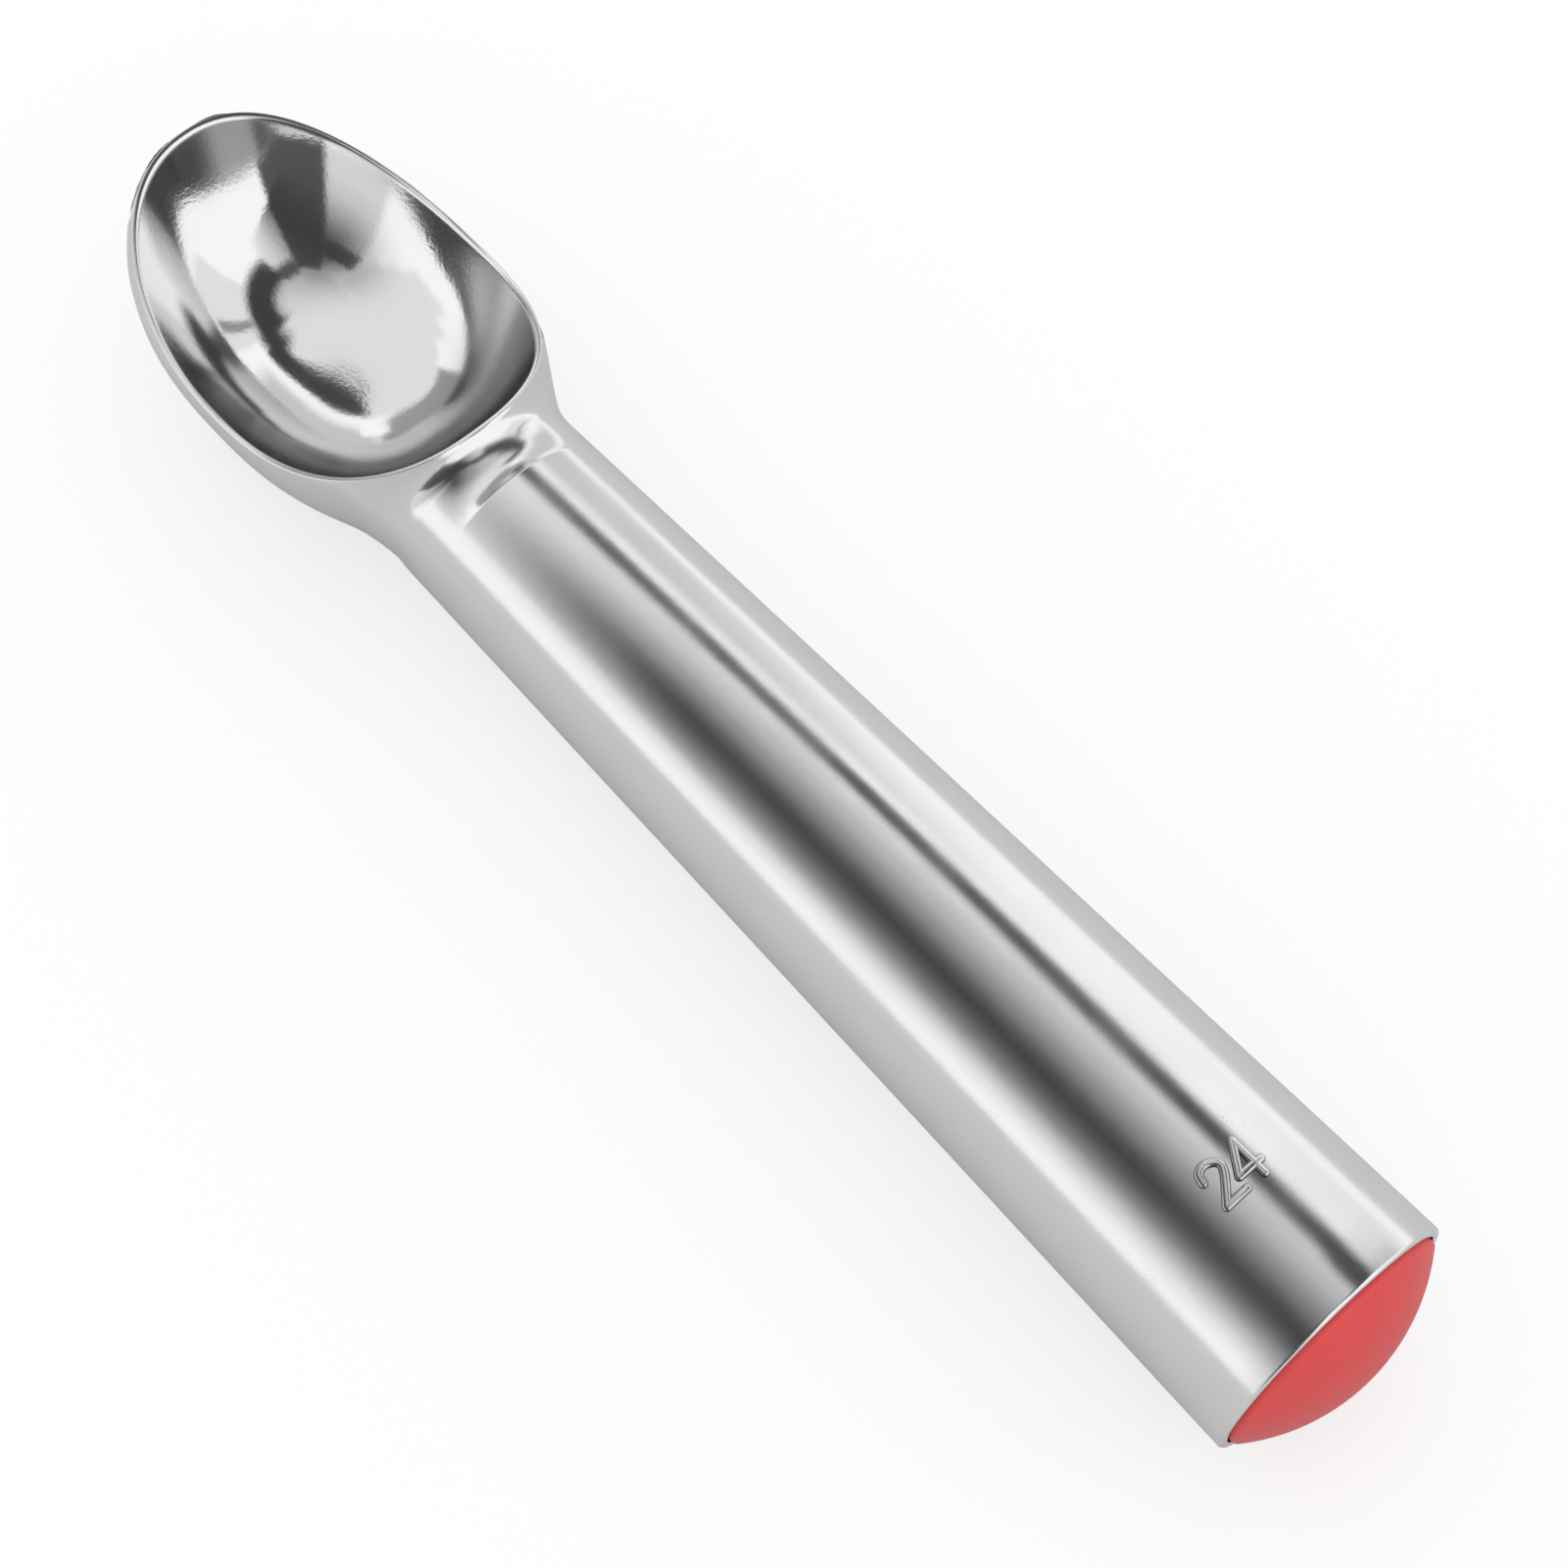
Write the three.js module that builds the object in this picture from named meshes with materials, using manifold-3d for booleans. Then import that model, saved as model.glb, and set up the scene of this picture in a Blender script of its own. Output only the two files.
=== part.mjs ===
// Ice cream scoop with a liquid-filled handle: millimetres, +Z up, +X from the end cap to the bowl's tip.
import * as THREE from 'three';
import { mergeVertices } from 'three/addons/utils/BufferGeometryUtils.js';
import Module from 'manifold-3d';

const wasm = await Module();
wasm.setup();

// Handle: a straight taper with a thin lip round the end cap. X is measured from the lip's rear face.
const gripLength = 125.4;
const rearRadius = 15.5;
const neckRadius = 12.4;
const lipRound = 0.5;
const lipWidth = 1.0;
const handleWall = 2.8;

// Neck: a rounded groove across the top, between the front edge of the grip and the back of the bowl
const neckLength = 6.4;
const neckGrooveDepth = 1.5;
const neckSideFillet = 5.0;
const neckTopFillet = 3.0;
const rimWallSlope = 2.5;
const neckRise = 9.0;
const shoulderReach = 1.0;

// Bowl, measured inside the rim; its rim dips in the middle, as an arc seen from the side
const bowlLength = 51.5;
const bowlWidth = 36.1;
const bowlDepth = 10.5;
const rimLowHeight = 6.5;
const rimDip = 8.3;
const rimLand = 0.6;
const rimBelow = 0.5;
const tipWallDrop = 5.0;
const floorThickness = 7.7;
const widestShare = 0.468;
const rimLowShare = 0.485;
const backFullness = 2.4;
const tipFullness = 2.2;
const tipWallFullness = 2.5;
const sideFullness = 2.1;
const bowlSweep = 2.8;

// Rear end: the cap's seat, the plug's seat, and the chamber for the liquid in front of them
const capSeatDepth = 8.0;
const plugSeatDepth = 16.0;
const plugStop = 0.5;
const chamberEndWall = 1.0;
const liquidLevel = 6.0;
const fitGap = 0.3;

// End cap
const domeHeight = 4.9;
const domeProud = 0.5;
const capWall = 1.8;
const flangeDepth = 1.6;
const barbHeight = 0.6;
const barbLength = 2.4;

// Plug and its rubber ring
const plugRecessRadius = 7.0;
const plugRecessDepth = 5.0;
const plugClearance = 0.6;
const ringThickness = 2.4;

// Raised number on the handle
const numberPlace = 16.8;
const numberHeight = 4.5;
const strokeWidth = 0.8;
const strokeRise = 0.3;
const digitPitch = 3.3;

// Fineness of the round surfaces
const roundSegments = 64;
const quarterSteps = 12;
const lipSteps = 3;
const gripSteps = 8;
const neckSteps = 8;
const bowlSteps = 24;
const arcSteps = 16;
const cutterSegments = 240;
const curveSteps = 14;
const lineSteps = 3;
const tiny = 1e-5;

// Places along X that follow from the sizes above
const rimBackOuter = gripLength + neckLength;
const bowlBack = rimBackOuter + rimLand;
const bowlTip = bowlBack + bowlLength;
const bodyTip = bowlTip + rimLand;
const widestPlace = bowlBack + widestShare * bowlLength;
const rimLowPlace = bowlBack + rimLowShare * bowlLength;
const rimRun = bodyTip - rimLowPlace;
const rimArcRadius = (rimRun ** 2 + rimDip ** 2) / (2 * rimDip);
const bowlFloor = rimLowHeight - bowlDepth;
const outerFloor = bowlFloor - floorThickness;
const chamberStart = capSeatDepth + plugSeatDepth;
const chamberEnd = bowlBack - chamberEndWall;
const capSeatRadius = rearRadius - lipWidth;
const domeApex = -(domeProud + domeHeight);

const smooth = (t) => THREE.MathUtils.smoothstep(t, 0, 1);

// Height of a rounded end that falls from 1 to 0 as u goes from 0 to 1
function oval(u, fullness) {
  const inside = Math.max(0, 1 - Math.abs(u) ** fullness);
  return inside ** (1 / fullness);
}

// The larger of two sizes, with the corner between them filled over the given span
function filletedMax(a, b, span) {
  const overlap = Math.max(0, span - Math.abs(a - b));
  return Math.max(a, b) + overlap ** 2 / (4 * span);
}

function handleRadius(x) {
  const slope = (neckRadius - rearRadius) / (gripLength - lipRound);
  return rearRadius + slope * (x - lipRound);
}

function chamberRadius(x) {
  return handleRadius(x) - handleWall;
}

// Side view of the rim: an arc with its lowest point near the middle of the bowl
function rimHeight(x) {
  const run = x - rimLowPlace;
  return rimLowHeight + rimArcRadius - Math.sqrt(rimArcRadius ** 2 - run ** 2);
}

// Share of the bowl's full width or depth at x, for an outline that stands clear of the inside rim by offset
function bowlShare(x, offset, fullness) {
  const toTip = x > widestPlace;
  const reach = offset + (toTip ? bowlTip - widestPlace : widestPlace - bowlBack);
  return oval((x - widestPlace) / reach, toTip ? fullness : backFullness);
}

function bowlHalfWidth(x, offset, fullness) {
  return (bowlWidth / 2 + offset) * bowlShare(x, offset, fullness);
}

// Share of the way from the round handle to the full bowl
function bowlBlend(x) {
  return smooth((x - rimBackOuter) / neckRise);
}

// Distance from a point to the rim's outline, seen from above: positive outside it
function distanceToRim(x, y) {
  if (x > widestPlace) {
    return y - bowlHalfWidth(x, rimLand, tipFullness);
  }
  const reach = widestPlace - rimBackOuter;
  const halfWidth = bowlWidth / 2 + rimLand;
  const along = (widestPlace - x) / reach;
  const across = y / halfWidth;
  const outward = Math.max(tiny, (along ** backFullness + across ** backFullness) ** (1 / backFullness));
  const slopeAlong = (along / outward) ** (backFullness - 1) / reach;
  const slopeAcross = (across / outward) ** (backFullness - 1) / halfWidth;
  return (outward - 1) / Math.hypot(slopeAlong, slopeAcross, tiny);
}

function outerHalfWidth(x) {
  const bowl = bowlHalfWidth(x, rimLand, tipWallFullness);
  return x > widestPlace ? bowl : filletedMax(handleRadius(x), bowl, neckSideFillet);
}

// Height at which a section is widest: the axis along the handle, just below the rim along the bowl
function widestHeight(x) {
  const towardsTip = smooth((x - widestPlace) / (bowlTip - widestPlace));
  const drop = (rimBelow + tipWallDrop * towardsTip) * bowlShare(x, rimLand, tipFullness);
  return (rimHeight(Math.max(x, rimBackOuter)) - drop) * bowlBlend(x);
}

// Height of the upper surface at half-width y: round along the handle, with a wall that climbs past the rim
function upperHeight(x, y, width) {
  const side = widestHeight(x);
  const round = Math.sqrt(Math.max(0, 1 - (y / width) ** 2));
  const grip = side + (handleRadius(x) - side) * round;
  if (x <= gripLength) {
    return grip;
  }
  const distance = Math.max(-neckTopFillet, distanceToRim(x, y));
  const wall = rimHeight(Math.max(x, rimBackOuter)) - rimWallSlope * distance;
  const outside = Math.max(0, distance);
  const shoulder = round ** (outside / (outside + shoulderReach));
  return filletedMax(grip, side + (wall - side) * shoulder, neckTopFillet);
}

// Lowest height of a section: the handle's underside, running smoothly into the bowl's
function undersideHeight(x) {
  if (x > widestPlace) {
    return rimHeight(x) - (rimHeight(x) - outerFloor) * bowlShare(x, rimLand, tipFullness);
  }
  const share = smooth((x - rimBackOuter) / (widestPlace - rimBackOuter));
  return THREE.MathUtils.lerp(-handleRadius(x), outerFloor, share);
}

// A closed skin through rings of points, with both ends drawn to a point
function loft(rings, startPoint, endPoint) {
  const count = rings[0].length;
  const points = [startPoint, ...rings.flat(), endPoint];
  const last = points.length - 1;
  const at = (ring, k) => 1 + ring * count + (k % count);
  const faces = [];
  for (let k = 0; k < count; k += 1) {
    faces.push(0, at(0, k + 1), at(0, k));
    faces.push(last, at(rings.length - 1, k), at(rings.length - 1, k + 1));
  }
  for (let ring = 0; ring < rings.length - 1; ring += 1) {
    for (let k = 0; k < count; k += 1) {
      faces.push(at(ring, k), at(ring, k + 1), at(ring + 1, k));
      faces.push(at(ring, k + 1), at(ring + 1, k + 1), at(ring + 1, k));
    }
  }
  const geometry = new THREE.BufferGeometry().setFromPoints(points);
  geometry.setIndex(faces);
  return geometry;
}

// Mirrors a half section, given from the bottom to the top as [y, z], into a full ring at x
function ringAt(x, half) {
  const right = half.map(([y, z]) => new THREE.Vector3(x, y, z));
  const off = half.filter(([y]) => y > tiny);
  const left = off.reverse().map(([y, z]) => new THREE.Vector3(x, -y, z));
  return [...right, ...left];
}

// Quarter of a rounded section, from the bottom centre up to the side
function lowerQuarter(halfWidth, side, bottom, fullness) {
  const points = [];
  for (let k = 0; k <= quarterSteps; k += 1) {
    const turn = (k / quarterSteps) * (Math.PI / 2);
    const y = halfWidth * Math.sin(turn) ** (2 / fullness);
    const z = side - (side - bottom) * Math.cos(turn) ** (2 / fullness);
    points.push([k === 0 ? 0 : y, z]);
  }
  return points;
}

// One section of the casting, from the bottom centre round to the top; above the rim it is cut away later
function bodyRing(x, shrink) {
  const width = outerHalfWidth(x);
  const fullness = THREE.MathUtils.lerp(2, sideFullness, bowlBlend(x));
  const half = lowerQuarter(width - shrink, widestHeight(x), undersideHeight(x) + shrink, fullness);
  for (let k = 1; k <= quarterSteps; k += 1) {
    const turn = (k / quarterSteps) * (Math.PI / 2);
    const height = upperHeight(x, width * Math.cos(turn), width);
    half.push([(width - shrink) * Math.cos(turn), height - shrink * Math.sin(turn)]);
  }
  return ringAt(x, half);
}

// Height of the bowl's inside: it sweeps up from the floor to the rim, gently at first and then steeper
function insideHeight(x, y) {
  const toTip = x > widestPlace;
  const fullness = toTip ? tipFullness : backFullness;
  const along = Math.abs(x - widestPlace) / (toTip ? bowlTip - widestPlace : widestPlace - bowlBack);
  const across = y / (bowlWidth / 2);
  const outward = (along ** fullness + across ** fullness) ** (1 / fullness);
  return bowlFloor + (rimHeight(x) - bowlFloor) * outward ** bowlSweep;
}

// One section of the bowl's hollow, from the bottom centre up to the rim and past it
function cavityRing(x) {
  const width = bowlHalfWidth(x, 0, tipFullness);
  const half = [];
  for (let k = 0; k <= quarterSteps; k += 1) {
    const y = (k / quarterSteps) * width;
    half.push([y, insideHeight(x, y)]);
  }
  half.push([width, rimHeight(x) + bowlDepth]);
  return ringAt(x, half);
}

// Places after one end and up to the other, evenly spaced
function evenly(from, to, steps) {
  return Array.from({ length: steps }, (_, k) => THREE.MathUtils.lerp(from, to, (k + 1) / steps));
}

// Places after one end and up to the other, crowded towards the far end where the shape closes
function crowded(from, to, steps) {
  return evenly(0, Math.PI / 2, steps).map((turn) => THREE.MathUtils.lerp(from, to, Math.sin(turn)));
}

// Closed solid from a geometry, for joining and cutting
function solid(geometry) {
  const bare = geometry.clone();
  bare.deleteAttribute('normal');
  bare.deleteAttribute('uv');
  const merged = mergeVertices(bare, tiny);
  const corners = merged.index.array;
  const faces = [];
  for (let k = 0; k < corners.length; k += 3) {
    const [a, b, c] = [corners[k], corners[k + 1], corners[k + 2]];
    if (a !== b && b !== c && c !== a) {
      faces.push(a, b, c);
    }
  }
  return new wasm.Manifold(new wasm.Mesh({
    numProp: 3,
    vertProperties: new Float32Array(merged.attributes.position.array),
    triVerts: new Uint32Array(faces),
  }));
}

function geometryOf(shape) {
  const mesh = shape.getMesh();
  const geometry = new THREE.BufferGeometry();
  geometry.setAttribute('position', new THREE.BufferAttribute(mesh.vertProperties, 3));
  geometry.setIndex(new THREE.BufferAttribute(mesh.triVerts, 1));
  return geometry;
}

// A turned piece about the handle's axis, from a profile of [x, radius] points
function turned(profile) {
  const points = profile.map(([x, radius]) => new THREE.Vector2(radius, x));
  return new THREE.LatheGeometry(points, roundSegments).rotateZ(-Math.PI / 2);
}

// Points of an arc in the profile plane, from angle to angle about a centre on the axis
function arcProfile(centre, radius, from, to) {
  return [from, ...evenly(from, to, arcSteps)].map((turn) => {
    return [centre + radius * Math.cos(turn), Math.abs(radius * Math.sin(turn))];
  });
}

// Outside of the casting: rings from the rounded lip, along the handle and the neck, to the bowl's tip
function bodyOutside() {
  const lip = evenly(-Math.PI / 2, 0, lipSteps).map((turn) => {
    return bodyRing(lipRound * (1 + Math.sin(turn)), lipRound * (1 - Math.cos(turn)));
  });
  const stations = [
    ...evenly(lipRound, gripLength, gripSteps),
    ...evenly(gripLength, rimBackOuter, neckSteps).slice(0, -1),
    ...crowded(widestPlace, rimBackOuter, bowlSteps).reverse(),
    widestPlace,
    ...crowded(widestPlace, bodyTip, bowlSteps).slice(0, -1),
  ];
  const rings = [bodyRing(0, lipRound), ...lip, ...stations.map((x) => bodyRing(x, 0))];
  return loft(rings, new THREE.Vector3(), new THREE.Vector3(bodyTip, 0, rimHeight(bodyTip)));
}

// Hollow of the bowl, carried up past the rim
function bowlInside() {
  const back = crowded(widestPlace, bowlBack, bowlSteps).slice(0, -1).reverse();
  const front = crowded(widestPlace, bowlTip, bowlSteps).slice(0, -1);
  const rings = [...back, widestPlace, ...front].map(cavityRing);
  const point = (x) => new THREE.Vector3(x, 0, rimHeight(x));
  return loft(rings, point(bowlBack), point(bowlTip));
}

// Rounded front end of the chamber that stands clear of the casting by gap
function chamberProfile(gap) {
  const endRadius = chamberRadius(gripLength) - gap;
  const endCentre = chamberEnd - gap - endRadius;
  const start = chamberStart + gap;
  return [
    [start, 0],
    [start, chamberRadius(start) - gap],
    ...arcProfile(endCentre, endRadius, Math.PI / 2, 0),
  ];
}

function seatRadius() {
  return chamberRadius(chamberStart) + plugStop;
}

function rearBore() {
  return turned([
    [-lipWidth, 0],
    [-lipWidth, capSeatRadius],
    [capSeatDepth, capSeatRadius],
    [capSeatDepth, seatRadius()],
    [chamberStart, seatRadius()],
    [chamberStart, 0],
  ]);
}

// Outline of a stroke with round ends along a curve, in the flat: u round the handle, v along it
function strokeShape(curve, steps) {
  const half = strokeWidth / 2;
  const left = [];
  const right = [];
  for (let k = 0; k <= steps; k += 1) {
    const middle = curve.getPoint(k / steps);
    const along = curve.getTangent(k / steps);
    const across = new THREE.Vector2(-along.y, along.x);
    left.push(middle.clone().addScaledVector(across, half));
    right.unshift(middle.clone().addScaledVector(across, -half));
  }
  const endCap = (t, sign) => {
    const heading = curve.getTangent(t).multiplyScalar(sign);
    return curve.getPoint(t).addScaledVector(heading, half);
  };
  return new THREE.Shape([...left, endCap(1, 1), ...right, endCap(0, -1)]);
}

// Strokes of the digits 2 and 4, one unit tall, u to the right and v up as read with the bowl on top
function digitStrokes() {
  const point = (u, v) => new THREE.Vector2(u, v);
  const two = new THREE.SplineCurve([
    point(-0.3, 0.72), point(-0.22, 0.94), point(0.02, 1.0),
    point(0.26, 0.84), point(0.2, 0.58), point(-0.3, 0),
  ]);
  const line = (a, b) => new THREE.LineCurve(a, b);
  return [
    { curve: two, steps: curveSteps, place: -0.5 },
    { curve: line(point(-0.3, 0), point(0.32, 0)), steps: lineSteps, place: -0.5 },
    { curve: line(point(0.14, 1.0), point(0.14, 0)), steps: lineSteps, place: 0.5 },
    { curve: line(point(0.14, 1.0), point(-0.36, 0.3)), steps: lineSteps, place: 0.5 },
    { curve: line(point(-0.36, 0.3), point(0.34, 0.3)), steps: lineSteps, place: 0.5 },
  ];
}

// A stroke wrapped on the handle's taper, half sunk in it and half raised
function numberStroke({ curve, steps, place }) {
  const sized = (p) => new THREE.Vector2(p.x * numberHeight + place * digitPitch, (p.y - 0.5) * numberHeight);
  const points = [];
  for (let k = 0; k <= steps; k += 1) {
    points.push(sized(curve.getPoint(k / steps)));
  }
  const shape = strokeShape(new THREE.SplineCurve(points), steps);
  const flat = new THREE.ExtrudeGeometry(shape, { depth: 2 * strokeRise, bevelEnabled: false });
  const position = flat.attributes.position;
  for (let k = 0; k < position.count; k += 1) {
    const x = numberPlace + position.getY(k);
    const radius = handleRadius(x) - strokeRise + position.getZ(k);
    const turn = -position.getX(k) / handleRadius(x);
    position.setXYZ(k, x, radius * Math.sin(turn), radius * Math.cos(turn));
  }
  return flat;
}

// Cutter for the groove: its arc leaves the grip at the front edge and ends at the back of the rim
function neckGroove() {
  const start = new THREE.Vector2(gripLength, handleRadius(gripLength));
  const end = new THREE.Vector2(rimBackOuter, rimHeight(rimBackOuter));
  const chord = end.clone().sub(start);
  const radius = (chord.lengthSq() / 4 + neckGrooveDepth ** 2) / (2 * neckGrooveDepth);
  const up = new THREE.Vector2(-chord.y, chord.x).normalize();
  const centre = start.add(end).multiplyScalar(0.5).addScaledVector(up, radius - neckGrooveDepth);
  const cutter = new THREE.CylinderGeometry(radius, radius, 4 * neckRadius, cutterSegments);
  return cutter.translate(centre.x, 0, centre.y);
}

// Cutter for the rim: a large drum lying across the bowl
function rimDrum() {
  const drum = new THREE.CylinderGeometry(rimArcRadius, rimArcRadius, 2 * bowlWidth, cutterSegments);
  return drum.translate(rimLowPlace, 0, rimLowHeight + rimArcRadius);
}

function scoopBody() {
  let body = solid(bodyOutside());
  body = body.subtract(solid(bowlInside()));
  body = body.subtract(solid(turned(chamberProfile(0))));
  body = body.subtract(solid(rearBore()));
  body = body.subtract(solid(neckGroove()));
  body = body.subtract(solid(rimDrum()));
  digitStrokes().forEach((stroke) => {
    body = body.add(solid(numberStroke(stroke)));
  });
  return geometryOf(body);
}

// Liquid lying level in the chamber, with the air space cut off above it
function heatFluid() {
  const length = chamberEnd - chamberStart;
  const air = new THREE.BoxGeometry(2 * length, 4 * rearRadius, 2 * rearRadius);
  air.translate(chamberStart + length / 2, 0, liquidLevel + rearRadius);
  return geometryOf(solid(turned(chamberProfile(fitGap))).subtract(solid(air)));
}

function ringPlace() {
  return capSeatDepth + plugSeatDepth / 2;
}

function sealPlug() {
  const radius = seatRadius() - fitGap;
  const rear = capSeatDepth + plugClearance;
  const front = chamberStart - fitGap;
  const grooveRoot = radius - ringThickness - fitGap;
  const grooveHalf = ringThickness / 2 + fitGap;
  return turned([
    [rear + plugRecessDepth, 0],
    [rear + plugRecessDepth, plugRecessRadius],
    [rear, plugRecessRadius],
    [rear, radius],
    [ringPlace() - grooveHalf, radius],
    [ringPlace() - grooveHalf, grooveRoot],
    [ringPlace() + grooveHalf, grooveRoot],
    [ringPlace() + grooveHalf, radius],
    [front, radius],
    [front, 0],
  ]);
}

function plugRing() {
  const thick = ringThickness / 2;
  const middle = seatRadius() - fitGap - thick;
  const ring = new THREE.TorusGeometry(middle, thick, arcSteps, roundSegments);
  return ring.rotateY(Math.PI / 2).translate(ringPlace(), 0, 0);
}

function endCap() {
  const flange = capSeatRadius - fitGap;
  const skirt = flange - barbHeight;
  const skirtEnd = capSeatDepth - plugClearance;
  const barb = flangeDepth + (skirtEnd - flangeDepth - barbLength) / 2;
  const sphere = (flange ** 2 + domeHeight ** 2) / (2 * domeHeight);
  const centre = domeApex + sphere;
  const spread = Math.asin(flange / sphere);
  const inner = sphere - capWall;
  const innerSpread = Math.asin((skirt - capWall) / inner);
  return turned([
    ...arcProfile(centre, sphere, Math.PI, Math.PI - spread),
    [flangeDepth, flange],
    [flangeDepth, skirt],
    [barb, skirt],
    [barb + barbLength / 3, flange],
    [barb + (barbLength * 2) / 3, flange],
    [barb + barbLength, skirt],
    [skirtEnd - barbHeight, skirt],
    [skirtEnd, skirt - barbHeight],
    [skirtEnd, skirt - capWall],
    ...arcProfile(centre, inner, Math.PI - innerSpread, Math.PI),
  ]);
}

// Materials in the photograph's colours
const aluminium = new THREE.MeshStandardMaterial({ color: 0xc9cacc, roughness: 0.22, metalness: 1.0 });
const redPlastic = new THREE.MeshStandardMaterial({ color: 0xd44a4c, roughness: 0.42, metalness: 0.0 });
const glycol = new THREE.MeshStandardMaterial({ color: 0xbfe3ea, roughness: 0.1, metalness: 0.0 });
const nylon = new THREE.MeshStandardMaterial({ color: 0xe9e6dc, roughness: 0.5, metalness: 0.0 });
const rubber = new THREE.MeshStandardMaterial({ color: 0x1d1d1f, roughness: 0.7, metalness: 0.0 });

// Puts a piece in the shared frame: origin under the middle of the scoop, at the foot of its rear end
function placed(name, geometry, material) {
  geometry.translate(-(bodyTip + domeApex) / 2, 0, rearRadius);
  const mesh = new THREE.Mesh(geometry, material);
  mesh.name = name;
  return mesh;
}

const scoop = new THREE.Group();
scoop.name = 'ice_cream_scoop';
scoop.add(placed('scoop_body', scoopBody(), aluminium));
scoop.add(placed('end_cap', endCap(), redPlastic));
scoop.add(placed('heat_fluid', heatFluid(), glycol));
scoop.add(placed('seal_plug', sealPlug(), nylon));
scoop.add(placed('plug_o_ring', plugRing(), rubber));

export default scoop;
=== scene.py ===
# %% [markdown]
# An ice cream scoop of the one-piece cast kind: a polished egg-shaped bowl that runs into a hollow handle,
# with a red cap pressed into the handle's end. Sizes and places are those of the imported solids. These are
# made of flat facets, which a mirror finish would show, so the parts that are seen are modelled again here,
# finer and in the same frame, and the hidden parts keep their solids and get a finish of their own.

# %% Load the frame
import math

import bpy
import numpy as np
from mathutils import Matrix, Vector


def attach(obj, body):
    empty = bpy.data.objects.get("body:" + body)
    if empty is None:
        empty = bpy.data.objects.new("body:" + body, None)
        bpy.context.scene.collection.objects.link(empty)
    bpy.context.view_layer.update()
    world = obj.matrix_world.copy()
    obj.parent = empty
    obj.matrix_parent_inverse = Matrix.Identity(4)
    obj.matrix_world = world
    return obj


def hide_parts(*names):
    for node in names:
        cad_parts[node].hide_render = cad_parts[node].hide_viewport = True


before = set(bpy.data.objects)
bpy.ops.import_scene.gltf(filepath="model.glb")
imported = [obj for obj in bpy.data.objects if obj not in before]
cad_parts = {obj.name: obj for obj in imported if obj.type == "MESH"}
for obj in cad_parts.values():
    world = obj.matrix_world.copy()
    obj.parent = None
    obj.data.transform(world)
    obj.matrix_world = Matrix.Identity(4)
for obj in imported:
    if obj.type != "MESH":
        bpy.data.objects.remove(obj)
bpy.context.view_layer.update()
scene = bpy.context.scene
scene.view_settings.view_transform = "Standard"

# %% [markdown]
# The sizes are those of the solids, in millimetres, and X is measured from the handle's rear face along its
# axis, as a turner would. One function carries a point into the frame, in metres: its origin lies under the
# middle of the scoop, at the foot of the handle's rear end.

# %% Sizes of the casting
MM = 0.001
grip_length, rear_radius, neck_radius = 125.4, 15.5, 12.4
lip_round, neck_length = 0.5, 6.4
bowl_length, bowl_width, bowl_depth, floor_thickness = 51.5, 36.1, 10.5, 7.7
rim_low_height, rim_dip, rim_land = 6.5, 8.3, 0.6
widest_share, rim_low_share = 0.468, 0.485
dome_height, dome_proud = 4.9, 0.5

rim_back = grip_length + neck_length
bowl_back = rim_back + rim_land
bowl_tip = bowl_back + bowl_length
body_tip = bowl_tip + rim_land
widest = bowl_back + widest_share * bowl_length
rim_low = bowl_back + rim_low_share * bowl_length
rim_arc = ((body_tip - rim_low) ** 2 + rim_dip ** 2) / (2 * rim_dip)
bowl_floor = rim_low_height - bowl_depth
outer_floor = bowl_floor - floor_thickness
dome_apex = -(dome_proud + dome_height)
middle = (body_tip + dome_apex) / 2


def place(x, y, z):
    return ((x - middle) * MM, y * MM, (z + rear_radius) * MM)


print("length from dome to tip:", round(body_tip - dome_apex, 2), "mm")

# %% [markdown]
# The casting's skin is a family of curves: a tapered round handle, an egg-shaped bowl whose rim dips in the
# middle like a saddle, and soft shoulders between the two. Rounded outlines are ovals with a fullness: 2 is
# an ellipse, more is squarer. Each of these small functions answers one question about the skin.

# %% Curves of the skin
back_fullness, tip_fullness, neck_rise = 2.4, 2.2, 9.0


def ease(t):
    t = min(1.0, max(0.0, t))
    return t * t * (3 - 2 * t)


def mix(a, b, t):
    return a + (b - a) * t


def oval(u, fullness):
    return max(0.0, 1 - abs(u) ** fullness) ** (1 / fullness)


def filleted_max(a, b, span):
    return max(a, b) + max(0.0, span - abs(a - b)) ** 2 / (4 * span)


def handle_radius(x):
    return rear_radius + (neck_radius - rear_radius) * (x - lip_round) / (grip_length - lip_round)


def rim_height(x):
    return rim_low_height + rim_arc - math.sqrt(rim_arc ** 2 - (x - rim_low) ** 2)


def bowl_share(x, offset, fullness):
    if x > widest:
        return oval((x - widest) / (bowl_tip - widest + offset), fullness)
    return oval((x - widest) / (widest - bowl_back + offset), back_fullness)


def bowl_half_width(x, offset, fullness=tip_fullness):
    return (bowl_width / 2 + offset) * bowl_share(x, offset, fullness)


def bowl_blend(x):
    return ease((x - rim_back) / neck_rise)


def rim_back_at(y):
    return widest - (widest - rim_back) * oval(y / (bowl_width / 2 + rim_land), back_fullness)


def outward_share(along, across, fullness):
    return (abs(along) ** fullness + abs(across) ** fullness) ** (1 / fullness)


def distance_to_rim(x, y):
    if x > widest:
        return y - bowl_half_width(x, rim_land)
    reach, half = widest - rim_back, bowl_width / 2 + rim_land
    along, across = (widest - x) / reach, y / half
    outward = max(outward_share(along, across, back_fullness), 1e-9)
    slope_along = (along / outward) ** (back_fullness - 1) / reach
    slope_across = (across / outward) ** (back_fullness - 1) / half
    return (outward - 1) / max(math.hypot(slope_along, slope_across), 1e-9)


print("handle radius at its rear and front:", handle_radius(lip_round), handle_radius(grip_length), "mm")

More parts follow.
